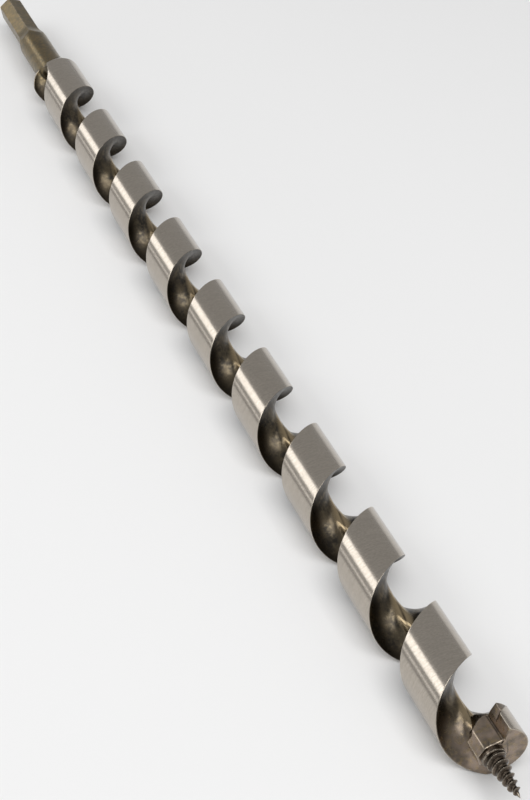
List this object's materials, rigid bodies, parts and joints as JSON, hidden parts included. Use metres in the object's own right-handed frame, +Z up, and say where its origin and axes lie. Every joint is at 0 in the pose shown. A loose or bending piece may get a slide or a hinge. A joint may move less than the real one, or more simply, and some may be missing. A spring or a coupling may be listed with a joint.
{
  "type": "auger bit",
  "caption": "Right-hand single-twist auger bit with a hex shank, open spiral flute, one-lip cutting head and threaded lead screw, turned by a drill to bore timber or lift soil samples.",
  "frame": {"origin": "on the bit's axis, at the centre of the hex shank's end face", "axes": "+X along the bit from the shank to the tip of the lead screw; the bit lies level, +Z up"},
  "size_m": [0.4615, 0.0206, 0.0206],
  "materials": {
    "shank_steel": "forged steel with a thin bronze-brown heat tint",
    "twist_steel": "lands ground bright, flute left with mottled dark scale",
    "head_steel": "dark steel with ground facets and straw heat tint",
    "screw_steel": "machined thread, oil-dark roots and bright crests"
  },
  "bodies": {
    "root": {"hex_shank": "shank_steel", "spiral_twist": "twist_steel", "cutter_head": "head_steel", "screw_point": "screw_steel"}
  },
  "joints": []
}
